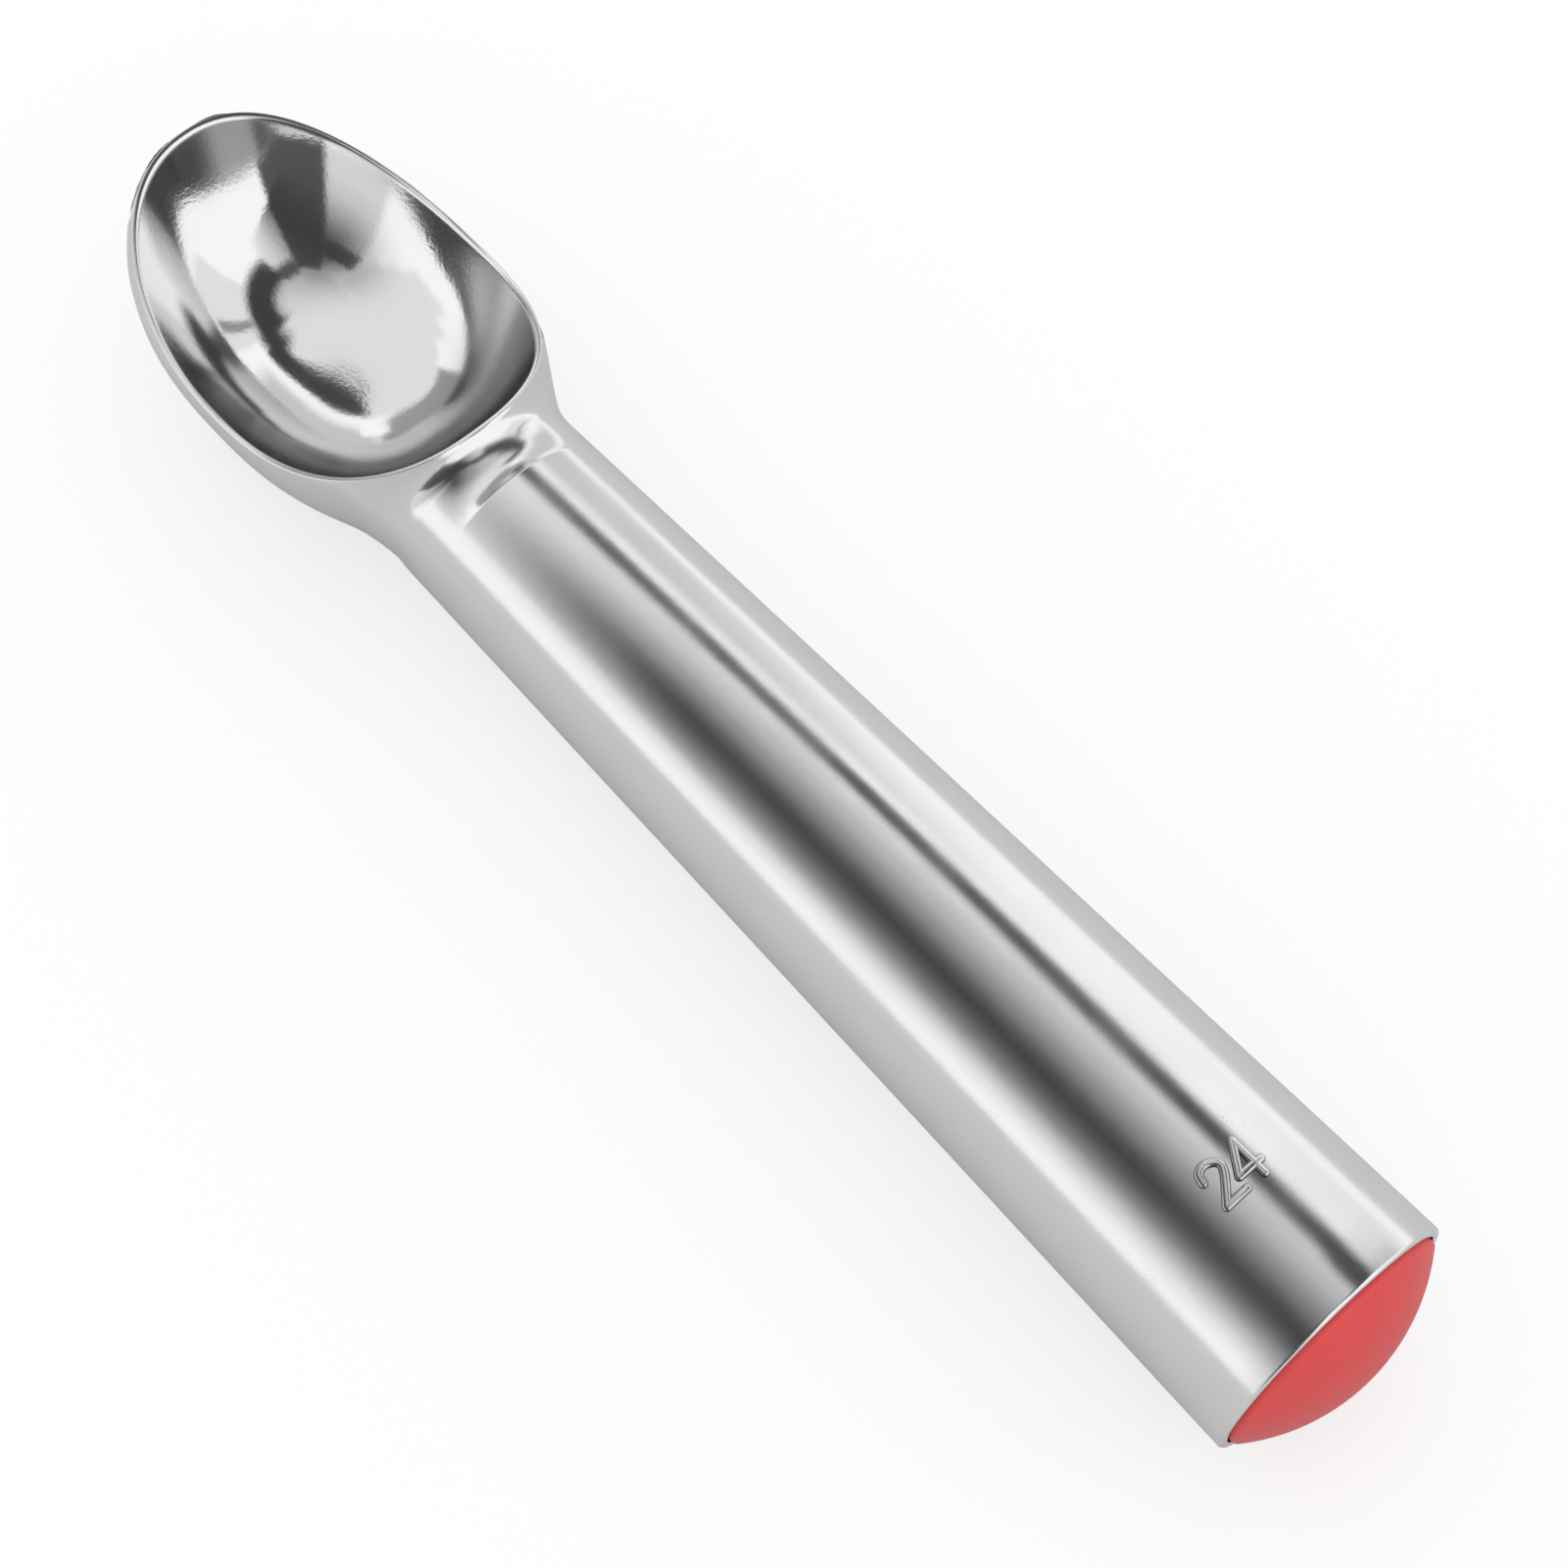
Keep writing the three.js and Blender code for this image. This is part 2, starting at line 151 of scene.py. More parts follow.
# %% Heights of the skin
neck_side_fillet, neck_top_fillet = 5.0, 3.0
rim_wall_slope, shoulder_reach, rim_below = 2.5, 1.0, 0.5
tip_wall_drop, tip_wall_fullness, bowl_sweep = 5.0, 2.5, 2.8


def outer_half_width(x):
    bowl = bowl_half_width(x, rim_land, tip_wall_fullness)
    return bowl if x > widest else filleted_max(handle_radius(x), bowl, neck_side_fillet)


def widest_height(x):
    towards_tip = ease((x - widest) / (bowl_tip - widest))
    drop = (rim_below + tip_wall_drop * towards_tip) * bowl_share(x, rim_land, tip_fullness)
    return (rim_height(max(x, rim_back)) - drop) * bowl_blend(x)


def upper_height(x, y):
    side = widest_height(x)
    round_off = math.sqrt(max(0.0, 1 - (y / outer_half_width(x)) ** 2))
    grip = side + (handle_radius(x) - side) * round_off
    if x <= grip_length:
        return grip
    distance = max(-neck_top_fillet, distance_to_rim(x, y))
    wall = rim_height(max(x, rim_back)) - rim_wall_slope * distance
    outside = max(0.0, distance)
    shoulder = round_off ** (outside / (outside + shoulder_reach))
    return filleted_max(grip, side + (wall - side) * shoulder, neck_top_fillet)


def underside_height(x):
    if x > widest:
        return rim_height(x) - (rim_height(x) - outer_floor) * bowl_share(x, rim_land, tip_fullness)
    return mix(-handle_radius(x), outer_floor, ease((x - rim_back) / (widest - rim_back)))


def bowl_inside(x, y):
    reach, fullness = (bowl_tip - widest, tip_fullness) if x > widest else (widest - bowl_back, back_fullness)
    outward = outward_share((x - widest) / reach, 2 * y / bowl_width, fullness)
    return bowl_floor + (rim_height(x) - bowl_floor) * outward ** bowl_sweep


print("rim heights at back, middle, tip:", [round(rim_height(x), 2) for x in (rim_back, rim_low, body_tip)])

# %% [markdown]
# Across the top of the neck runs a shallow groove that leaves the grip with a crisp front edge. In the side
# view it is an arc from that edge to the back of the rim. It is deepest in the middle and runs out softly on
# both sides, as a thumb's width ground into the casting would.

# %% Groove across the neck
neck_groove_depth, groove_half_width, groove_edge_round = 1.5, 9.5, 0.15
groove_start = Vector((grip_length, handle_radius(grip_length)))
groove_end = Vector((rim_back, rim_height(rim_back)))
groove_chord = groove_end - groove_start
groove_radius = (groove_chord.length_squared / 4 + neck_groove_depth ** 2) / (2 * neck_groove_depth)
groove_up = Vector((-groove_chord.y, groove_chord.x)).normalized()
groove_centre = (groove_start + groove_end) / 2 + groove_up * (groove_radius - neck_groove_depth)


def groove_drop(x):
    run = groove_radius ** 2 - (x - groove_centre.x) ** 2
    if run <= 0:
        return 0.0
    arc = groove_centre.y - math.sqrt(run)
    return max(0.0, filleted_max(0.0, upper_height(x, 0) - arc, groove_edge_round) - groove_edge_round / 4)


def neck_height(x, y):
    across = min(1.0, abs(y) / groove_half_width)
    return upper_height(x, y) - groove_drop(x) * (1 - across ** 2) ** 2


print("groove radius:", round(groove_radius, 2), "mm")

# %% [markdown]
# The skin is laid out as a few sheets of four-sided faces whose edges follow the shape: rings along the
# handle, hoops under the bowl from rim to rim, a sheet over the neck, and loops from the rim into the bowl.
# Each sheet starts as a grid primitive with the right number of rows, whose points are then moved to their
# places. Extruding by hand could give the same sheets, but not points this exact, and a mirror shows a
# tenth of a millimetre.

# %% A sheet from rows of points
def sheet(name, rows):
    bpy.ops.object.select_all(action="DESELECT")
    bpy.ops.mesh.primitive_grid_add(x_subdivisions=len(rows[0]) - 1, y_subdivisions=len(rows) - 1, size=1)
    grid = bpy.context.active_object
    grid.name = name
    points = [place(*point) for row in rows for point in row]
    grid.data.vertices.foreach_set("co", np.array(points).ravel())
    grid.data.update()
    print(name, len(rows), "rows of", len(rows[0]))
    return grid


def evenly_spaced(points, steps):
    points = np.array(points)
    run = np.concatenate([[0], np.cumsum(np.linalg.norm(np.diff(points, axis=0), axis=1))])
    wanted = np.linspace(0, run[-1], steps + 1)
    return [tuple(np.interp(w, run, points[:, k]) for k in range(points.shape[1])) for w in wanted]


# %% Handle: one ring of points
top_steps, hoop_steps = 64, 48
shoulder_turn = math.radians(35)
top_turns = np.linspace(shoulder_turn, math.pi - shoulder_turn, top_steps + 1)
under_turns = np.linspace(math.pi - shoulder_turn, 2 * math.pi + shoulder_turn, 2 * hoop_steps + 1)
ring_turns = list(top_turns) + list(under_turns[1:])


def ring(x, radius):
    return [(x, radius * math.cos(turn), radius * math.sin(turn)) for turn in ring_turns]


def quarter(steps):
    return [k / steps * math.pi / 2 for k in range(steps + 1)]


print("ring:", len(ring_turns), "points")

# %% Handle: rings from the grip's front edge back to the lip, and on into the hollow
lip_width, handle_wall, lip_edge, front_edge = 1.0, 2.8, 0.12, 0.1
cap_seat_depth, plug_seat_depth, plug_stop, chamber_end_wall = 8.0, 16.0, 0.5, 1.0
handle_rings, lip_steps, lip_edge_steps, chamber_steps = 25, 6, 4, 12
cap_seat_radius = rear_radius - lip_width
chamber_start = cap_seat_depth + plug_seat_depth
chamber_radius = handle_radius(chamber_start) - handle_wall
chamber_end_radius = handle_radius(grip_length) - handle_wall
chamber_end = bowl_back - chamber_end_wall
handle_places = [grip_length] + list(np.linspace(grip_length - front_edge, lip_round, handle_rings))
handle_rows = [(x, handle_radius(x)) for x in handle_places]
for t in quarter(lip_steps)[1:]:
    handle_rows.append((lip_round * (1 - math.sin(t)), rear_radius - lip_round * (1 - math.cos(t))))
for t in quarter(lip_edge_steps):
    handle_rows.append((lip_edge * (1 - math.cos(t)), cap_seat_radius + lip_edge * (1 - math.sin(t))))
handle_rows += [
    (cap_seat_depth, cap_seat_radius),
    (cap_seat_depth, chamber_radius + plug_stop),
    (chamber_start, chamber_radius + plug_stop),
    (chamber_start, chamber_radius),
]
for t in quarter(chamber_steps):
    domed_place = chamber_end - chamber_end_radius * (1 - math.sin(t))
    handle_rows.append((domed_place, chamber_end_radius * math.cos(t)))
handle = sheet("handle", [ring(x, radius) for x, radius in handle_rows])

# %% Underside: hoops from rim to rim, closing at the tip
rim_edge, shoulder_half, side_fullness = 0.15, 14.5, 2.1
shoulder_place = rim_back_at(shoulder_half)
rim_turn = math.acos(shoulder_half / outer_half_width(shoulder_place))
neck_steps, side_steps, tip_steps = 44, 26, 44
upper_samples, lower_samples = 80, 160
neck_places = list(np.linspace(grip_length, shoulder_place, neck_steps + 1))
side_places = list(np.linspace(shoulder_place, widest, side_steps + 1))[1:]
tip_places = [mix(widest, body_tip, math.sin(t)) for t in quarter(tip_steps)[1:-1]]


def top_turn(x):
    if x <= shoulder_place:
        return mix(shoulder_turn, rim_turn, (x - grip_length) / (shoulder_place - grip_length))
    return math.acos(min(1.0, bowl_half_width(x, rim_land) / outer_half_width(x)))


def half_hoop(x):
    width, side, bottom = outer_half_width(x), widest_height(x), underside_height(x)
    fullness = mix(2, side_fullness, bowl_blend(x))
    points = []
    for t in np.linspace(top_turn(x), 0, upper_samples):
        y = width * math.cos(t)
        points.append((y, min(upper_height(x, y), rim_height(max(x, rim_back)) - rim_edge)))
    for t in np.linspace(math.pi / 2, 0, lower_samples)[1:]:
        y = width * math.sin(t) ** (2 / fullness)
        points.append((y, side - (side - bottom) * max(0.0, math.cos(t)) ** (2 / fullness)))
    return evenly_spaced(points, hoop_steps)


def hoop(x):
    half = half_hoop(x)
    return [(x, y, z) for y, z in half] + [(x, -y, z) for y, z in reversed(half[:-1])]


tip_point = (body_tip, 0.0, rim_height(body_tip) - rim_edge)
hoops = [hoop(x) for x in neck_places + side_places + tip_places]
underside = sheet("underside", hoops + [[tip_point] * (2 * hoop_steps + 1)])

# %% Neck: a sheet from the top of the handle to the back of the rim
outline_samples = 801
back_turns = np.linspace(math.pi / 2, -math.pi / 2, outline_samples)
fine_outline = [(rim_back_at(y), y) for y in shoulder_half * np.sin(back_turns)]
back_outline = evenly_spaced(fine_outline, top_steps)
ring_front = [(grip_length, neck_radius * math.cos(t), neck_radius * math.sin(t)) for t in top_turns]


def neck_row(k):
    share = k / neck_steps
    edge = hoops[k][0][1]
    row = []
    for m in range(top_steps + 1):
        x = mix(grip_length, back_outline[m][0], share)
        y = mix(ring_front[m][1], back_outline[m][1], share)
        y += (edge - mix(ring_front[0][1], shoulder_half, share)) * (1 - 2 * m / top_steps)
        height = min(neck_height(x, abs(y)), rim_height(max(x, rim_back)) - rim_edge)
        row.append((x, y, height))
    row[0], row[-1] = hoops[k][0], hoops[k][-1]
    return row


neck_rows = [ring_front] + [neck_row(k) for k in range(1, neck_steps)]
neck_rows.append([(x, y, rim_height(x) - rim_edge) for x, y in back_outline])
neck = sheet("neck", neck_rows)

# %% [markdown]
# The rim is a narrow land, rounded on both edges, and behind it the bowl sweeps down to its floor. Its loops
# all have the points of the rim's outer edge, drawn in step by step: first across the land and over its inner
# edge, then down to the floor.

# %% Rim and bowl: loops drawn in from the rim's outer edge
inner_edge, inner_edge_reach, inner_edge_loops = 0.3, 0.7, 9
rim_edge_steps, bowl_steps, first_bowl_share = 4, 110, 0.975
left_side = [h[-1] for h in hoops[neck_steps + 1:]]
right_side = [h[0] for h in reversed(hoops[neck_steps + 1:])]
outline = neck_rows[-1] + left_side + [tip_point] + right_side + [neck_rows[-1][0]]


def drawn_in(point, inset):
    x, y = point[0] - widest, point[1]
    reach = rim_land + (bowl_tip - widest if x > 0 else widest - bowl_back)
    half = rim_land + bowl_width / 2
    return widest + x * (reach - inset) / reach, y * (half - inset) / half


def outer_loop(turn):
    points = [drawn_in(point, rim_edge * (1 - math.cos(turn))) for point in outline]
    return [(x, y, rim_height(x) - rim_edge * (1 - math.sin(turn))) for x, y in points]


def inner_loop(inset):
    points = [drawn_in(point, inset) for point in outline]
    return [(x, y, -filleted_max(-rim_height(x), -bowl_inside(x, y), inner_edge)) for x, y in points]


def bowl_loop(share):
    points = [drawn_in(point, rim_land) for point in outline]
    points = [(mix(widest, x, share), y * share) for x, y in points]
    return [(x, y, bowl_inside(x, y)) for x, y in points]


land_rows = [list(outline)] + [outer_loop(turn) for turn in quarter(rim_edge_steps)[1:]]
edge_insets = np.linspace(-inner_edge_reach, inner_edge_reach, inner_edge_loops) * inner_edge
land_rows += [inner_loop(rim_land + inset) for inset in edge_insets]
bowl_rows = [bowl_loop(share) for share in np.linspace(first_bowl_share, 0, bowl_steps)[:-1]]
bowl_rows.append([(widest, 0.0, bowl_floor)] * len(outline))
land = sheet("land", land_rows)
bowl = sheet("bowl", [land_rows[-1]] + bowl_rows)

# %% [markdown]
# The sheets share their border points, so they are joined and the doubled points merged, which leaves one
# closed casting. The bowl keeps a material of its own, because it is polished further than the rest.

# %% Join the casting
satin = bpy.data.materials.new("cast_satin")
polish = bpy.data.materials.new("bowl_polish")
bpy.ops.object.select_all(action="DESELECT")
for piece in (handle, underside, neck, land, bowl):
    piece.data.materials.append(polish if piece is bowl else satin)
    piece.select_set(True)
bpy.context.view_layer.objects.active = handle
bpy.ops.object.join()
casting = bpy.context.active_object
casting.name = casting.data.name = "casting"
bpy.ops.object.mode_set(mode="EDIT")
bpy.ops.mesh.select_all(action="SELECT")
bpy.ops.mesh.remove_doubles(threshold=5e-6)
bpy.ops.mesh.normals_make_consistent(inside=False)
bpy.ops.mesh.select_all(action="DESELECT")
bpy.ops.mesh.select_non_manifold()
bpy.ops.object.mode_set(mode="OBJECT")
open_points = sum(v.select for v in casting.data.vertices)
bpy.ops.object.shade_smooth_by_angle(angle=math.radians(40))
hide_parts("scoop_body")
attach(casting, "root")
print("casting:", len(casting.data.polygons), "faces, open points:", open_points)

# %% [markdown]
# The number on the handle is cast with it: round beads that stand a third of a millimetre proud. Each stroke
# is drawn in the flat as a curve with a round section and round ends, made a mesh, and then wrapped on the
# taper, so that the beads follow the handle. Half of each bead is sunk in the metal, so that no gap shows.

# %% Raised number: strokes in the flat
number_place, number_height, digit_pitch = 16.8, 4.5, 3.3
bead_half, bead_rise, bead_end_steps, stroke_steps = 0.5, 0.36, 6, 12
two_bow = [(-0.3, 0.72), (-0.22, 0.94), (0.02, 1.0), (0.26, 0.84), (0.2, 0.58), (-0.3, 0.0)]
number_strokes = [
    (-0.5, two_bow),
    (-0.5, [(-0.3, 0.0), (0.32, 0.0)]),
    (0.5, [(0.14, 1.0), (0.14, 0.0)]),
    (0.5, [(0.14, 1.0), (-0.36, 0.3)]),
    (0.5, [(-0.36, 0.3), (0.34, 0.3)]),
]


def smooth_through(points, steps):
    ends = [np.array(p) for p in [points[0], *points, points[-1]]]
    path = []
    for a, b, c, d in zip(ends, ends[1:], ends[2:], ends[3:]):
        bend, twist = 2 * a - 5 * b + 4 * c - d, 3 * b - 3 * c + d - a
        for t in np.linspace(0, 1, steps, endpoint=False):
            path.append((2 * b + (c - a) * t + bend * t ** 2 + twist * t ** 3) / 2)
    return path + [ends[-1]]


def draw_bead(curve, path):
    first = (path[0] - path[1]) / np.linalg.norm(path[0] - path[1])
    last = (path[-1] - path[-2]) / np.linalg.norm(path[-1] - path[-2])
    turns = quarter(bead_end_steps)[:-1]
    points = [(path[0] + first * bead_half * math.sin(t), math.cos(t)) for t in reversed(turns)]
    points += [(p, 1.0) for p in path[1:-1]]
    points += [(path[-1] + last * bead_half * math.sin(t), math.cos(t)) for t in turns]
    spline = curve.splines.new("POLY")
    spline.points.add(len(points) - 1)
    for knot, (p, radius) in zip(spline.points, points):
        knot.co = (p[0], p[1], 0, 1)
        knot.radius = radius


number_curve = bpy.data.curves.new("raised_number", "CURVE")
number_curve.dimensions = "3D"
number_curve.bevel_depth = bead_half
number_curve.bevel_resolution = 5
number_curve.use_fill_caps = True
for digit, points in number_strokes:
    corner = np.array((digit * digit_pitch, -number_height / 2))
    path = smooth_through(points, stroke_steps)
    draw_bead(number_curve, [corner + number_height * p for p in path])
print("number:", len(number_curve.splines), "strokes")

# %% Raised number: wrapped on the handle
def wrapped(point):
    x = number_place + point.y
    radius = handle_radius(x) + point.z * bead_rise / bead_half
    turn = -point.x / handle_radius(x)
    return place(x, radius * math.sin(turn), radius * math.cos(turn))


number = bpy.data.objects.new("raised_number", number_curve)
scene.collection.objects.link(number)
bpy.ops.object.select_all(action="DESELECT")
number.select_set(True)
bpy.context.view_layer.objects.active = number
bpy.ops.object.convert(target="MESH")
for vertex in number.data.vertices:
    vertex.co = wrapped(vertex.co)
bpy.ops.object.mode_set(mode="EDIT")
bpy.ops.mesh.select_all(action="SELECT")
bpy.ops.mesh.normals_make_consistent(inside=False)
bpy.ops.object.mode_set(mode="OBJECT")
bpy.ops.object.shade_smooth_by_angle(angle=math.radians(50))
number_satin = bpy.data.materials.new("number_satin")
number.data.materials.append(number_satin)
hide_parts("scoop_body")
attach(number, "root")
print("number:", len(number.data.polygons), "faces, at", [round(v, 4) for v in number.data.vertices[0].co])

# %% [markdown]
# The cap in the handle's end is a moulded red dome with a short skirt, which a barb holds in its seat. It is
# round, so half its profile is drawn by extruding one point step by step, and that line is spun round the
# handle's axis. A narrow bevel takes the sharpness off its edges, as a mould does.

# %% End cap: its profile
flange_depth, barb_height, barb_length, plug_clearance = 1.6, 0.6, 2.4, 0.6
fit_gap, cap_wall, cap_edge_round = 0.3, 1.8, 0.2
dome_steps, inside_steps, spin_steps = 40, 16, 128
flange = cap_seat_radius - fit_gap
skirt = flange - barb_height
skirt_end = cap_seat_depth - plug_clearance
barb = flange_depth + (skirt_end - flange_depth - barb_length) / 2
dome_radius = (flange ** 2 + dome_height ** 2) / (2 * dome_height)
dome_centre = dome_apex + dome_radius


def dome_arc(radius, edge, steps):
    turns = np.linspace(0, math.asin(edge / radius), steps + 1)
    return [(dome_centre - radius * math.cos(a), radius * math.sin(a)) for a in turns]


cap_profile = dome_arc(dome_radius, flange, dome_steps)
cap_profile += [
    (flange_depth, flange),
    (flange_depth, skirt),
    (barb, skirt),
    (barb + barb_length / 3, flange),
    (barb + barb_length * 2 / 3, flange),
    (barb + barb_length, skirt),
    (skirt_end - barb_height, skirt),
    (skirt_end, skirt - barb_height),
    (skirt_end, skirt - cap_wall),
]
cap_profile += reversed(dome_arc(dome_radius - cap_wall, skirt - cap_wall, inside_steps))
print("cap profile:", len(cap_profile), "points, dome radius", round(dome_radius, 2), "mm")

# %% End cap: extruded point by point, then spun
bpy.context.tool_settings.mesh_select_mode = (True, False, False)
bpy.ops.object.select_all(action="DESELECT")
bpy.ops.mesh.primitive_plane_add(size=MM, location=(0, 0, 0))
cap = bpy.context.active_object
cap.name = cap.data.name = "domed_cap"
bpy.ops.object.mode_set(mode="EDIT")
bpy.ops.mesh.merge(type="CENTER")
cap_points = [Vector(place(x, 0, radius)) for x, radius in cap_profile]
bpy.ops.transform.translate(value=cap_points[0])
for here, there in zip(cap_points, cap_points[1:]):
    bpy.ops.mesh.extrude_vertices_move(TRANSFORM_OT_translate={"value": there - here})
bpy.ops.mesh.select_all(action="SELECT")
bpy.ops.mesh.spin(steps=spin_steps, angle=2 * math.pi, center=place(0, 0, 0), axis=(1, 0, 0))
bpy.ops.mesh.select_all(action="SELECT")
bpy.ops.mesh.remove_doubles(threshold=2e-6)
bpy.ops.mesh.normals_make_consistent(inside=False)
bpy.ops.object.mode_set(mode="OBJECT")
edge = cap.modifiers.new("edge", "BEVEL")
edge.width = cap_edge_round * MM
edge.segments = 3
edge.limit_method = "ANGLE"
edge.angle_limit = math.radians(30)
bpy.ops.object.modifier_apply(modifier="edge")
bpy.ops.object.shade_smooth_by_angle(angle=math.radians(40))
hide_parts("end_cap")
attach(cap, "root")
print("cap:", len(cap.data.polygons), "faces, box", [round(d, 4) for d in cap.dimensions])

# %% [markdown]
# The finishes are made of a few small effects, which are node groups with named inputs: a polished casting
# still ripples a little, its skin keeps fine specks, hands leave a haze, the polishing wheel leaves lines
# along the handle, and the bowl's steep back wall gets painted shade, a greyer patch that stands for a dark
# reflection. The same nodes could be set up in each finish, but a group is made once and then only turned up
# or down. Each one reads the piece's own coordinates, in metres, so a fineness of 1000 is a millimetre.

# %% Helpers for nodes
def feed(tree, socket, value):
    if isinstance(value, bpy.types.NodeSocket):
        tree.links.new(value, socket)
    else:
        socket.default_value = value


def calc(tree, operation, *values, clamp=False):
    node = tree.nodes.new("ShaderNodeMath")
    node.operation = operation
    node.use_clamp = clamp
    for socket, value in zip(node.inputs, values):
        feed(tree, socket, value)
    return node.outputs[0]


def noise(tree, place_in, fineness, detail=2.0):
    node = tree.nodes.new("ShaderNodeTexNoise")
    feed(tree, node.inputs["Vector"], place_in)
    feed(tree, node.inputs["Scale"], fineness)
    node.inputs["Detail"].default_value = detail
    return node.outputs["Fac"]


def between(tree, value, low, high):
    node = tree.nodes.new("ShaderNodeMapRange")
    node.interpolation_type = "SMOOTHSTEP"
    feed(tree, node.inputs["Value"], value)
    feed(tree, node.inputs["From Min"], low)
    feed(tree, node.inputs["From Max"], high)
    return node.outputs["Result"]


def parts_of(tree, vector):
    node = tree.nodes.new("ShaderNodeSeparateXYZ")
    feed(tree, node.inputs[0], vector)
    return node.outputs


def hypotenuse(tree, a, b):
    return calc(tree, "SQRT", calc(tree, "MULTIPLY_ADD", a, a, calc(tree, "MULTIPLY", b, b)))


# %% Helpers for node groups
def new_group(name, inputs, output):
    group = bpy.data.node_groups.new(name, "ShaderNodeTree")
    for label, value in inputs.items():
        kind = "NodeSocketVector" if label == "Place" else "NodeSocketFloat"
        socket = group.interface.new_socket(label, in_out="INPUT", socket_type=kind)
        if value is not None:
            socket.default_value = value
    group.interface.new_socket(output, in_out="OUTPUT", socket_type="NodeSocketFloat")
    return group, group.nodes.new("NodeGroupInput").outputs, group.nodes.new("NodeGroupOutput").inputs[0]


def use_group(tree, group, **inputs):
    node = tree.nodes.new("ShaderNodeGroup")
    node.node_tree = group
    for label, value in inputs.items():
        feed(tree, node.inputs[label.replace("_", " ").title()], value)
    return node.outputs[0]


# %% Effects of casting and polishing
ripple, given, result = new_group("polish_ripple", {"Place": None, "Fineness": 700.0}, "Height")
finer, fine_weight = 4.0, 0.22
broad = noise(ripple, given["Place"], given["Fineness"], 1.0)
fine = noise(ripple, given["Place"], calc(ripple, "MULTIPLY", given["Fineness"], finer), 2.0)
feed(ripple, result, calc(ripple, "MULTIPLY_ADD", fine, fine_weight, broad))

specks, given, result = new_group("cast_specks", {"Place": None, "Fineness": 2200.0, "Share": 0.3}, "Mask")
coarser, highest_level, speck_edge = 18.0, 0.86, 0.06
grains = noise(specks, given["Place"], given["Fineness"], 1.0)
patches = noise(specks, given["Place"], calc(specks, "DIVIDE", given["Fineness"], coarser), 2.0)
level = calc(specks, "SUBTRACT", highest_level, calc(specks, "MULTIPLY", given["Share"], patches))
feed(specks, result, between(specks, grains, level, calc(specks, "ADD", level, speck_edge)))

wheel, given, result = new_group("wheel_lines", {"Place": None, "Fineness": 1600.0}, "Height")
line_stretch = (0.02, 1.0, 1.0)
along = wheel.nodes.new("ShaderNodeMapping")
along.inputs["Scale"].default_value = line_stretch
feed(wheel, along.inputs["Vector"], given["Place"])
feed(wheel, result, noise(wheel, along.outputs["Vector"], given["Fineness"], 2.0))
print("made by casting and polishing:", [ripple.name, specks.name, wheel.name])

# %% Effects of hands, and painted shade on the bowl's steep wall
haze, given, result = new_group("handling_haze", {"Place": None, "Fineness": 60.0}, "Mask")
haze_start, haze_full = 0.35, 0.7
smears = noise(haze, given["Place"], given["Fineness"], 4.0)
feed(haze, result, between(haze, smears, haze_start, haze_full))

# Painted shade: a mask over the bowl's steep back wall, where the colour is darkened to stand for a dark
# reflection.
steep, given, result = new_group("steep_wall", {"Place": None, "Start": 0.6, "End": 0.88}, "Mask")
wall_centre, back_weight, side_weight, back_end = widest + 5.0, -0.7, 0.3, 0.4
where = parts_of(steep, given["Place"])
from_middle = calc(steep, "SUBTRACT", where["X"], place(wall_centre, 0, 0)[0])
lengthwise = calc(steep, "DIVIDE", from_middle, (widest - bowl_back) * MM)
crosswise = calc(steep, "DIVIDE", where["Y"], bowl_width / 2 * MM)
ring_mask = between(steep, hypotenuse(steep, lengthwise, crosswise), given["Start"], given["End"])
backwards = calc(steep, "MULTIPLY", lengthwise, back_weight)
backwards = calc(steep, "MULTIPLY_ADD", crosswise, side_weight, backwards)
feed(steep, result, calc(steep, "MULTIPLY", ring_mask, between(steep, backwards, 0.0, back_end)))
# The steep_wall mask carries painted shade on the bowl's back wall.
print("made by use and left by the wheel:", [haze.name, steep.name])

# %% [markdown]
# A finish starts from one Principled shader. What is the same all over is set on its sockets, and what
# changes over the surface is fed in: colour and roughness by masks, and the small relief by a bump of a few
# microns.

# %% Helpers for finishes
def finish_of(material):
    material.use_nodes = True
    tree = material.node_tree
    coordinates = tree.nodes.new("ShaderNodeTexCoord").outputs["Object"]
    return tree, tree.nodes["Principled BSDF"], coordinates


def blend_colour(tree, shader, mask, clean, marked):
    node = tree.nodes.new("ShaderNodeMix")
    node.data_type = "RGBA"
    feed(tree, node.inputs["Factor"], mask)
    node.inputs["A"].default_value = (*clean, 1)
    node.inputs["B"].default_value = (*marked, 1)
    feed(tree, shader.inputs["Base Color"], node.outputs["Result"])


def relief(tree, shader, height, microns):
    node = tree.nodes.new("ShaderNodeBump")
    node.inputs["Strength"].default_value = 1.0
    node.inputs["Distance"].default_value = microns * 1e-6
    feed(tree, node.inputs["Height"], height)
    feed(tree, shader.inputs["Normal"], node.outputs["Normal"])


# %% [markdown]
# The outside of the casting is satin: it was smoothed and rubbed along its length, and the fine specks of the
# mould stay in it. Bare metal has its colour in the reflection, so the shader is fully metallic. Its relief
# adds up four kinds of unevenness: the broad ripple, the wheel's lines, the grain and the pits.

# %% Satin aluminium of the outside
bare_aluminium = (0.915, 0.915, 0.92)
tree, shader, coordinates = finish_of(satin)
shader.inputs["Metallic"].default_value = 1.0
pits = use_group(tree, specks, place=coordinates, fineness=6500.0, share=0.3)
smudge = use_group(tree, haze, place=coordinates, fineness=70.0)
blend_colour(tree, shader, pits, clean=bare_aluminium, marked=(0.76, 0.76, 0.77))
satin_rough = calc(tree, "MULTIPLY_ADD", smudge, 0.05, 0.155)
feed(tree, shader.inputs["Roughness"], calc(tree, "MULTIPLY_ADD", pits, 0.05, satin_rough))
skin = use_group(tree, ripple, place=coordinates, fineness=420.0)
skin = calc(tree, "MULTIPLY_ADD", use_group(tree, wheel, place=coordinates, fineness=1500.0), 0.25, skin)
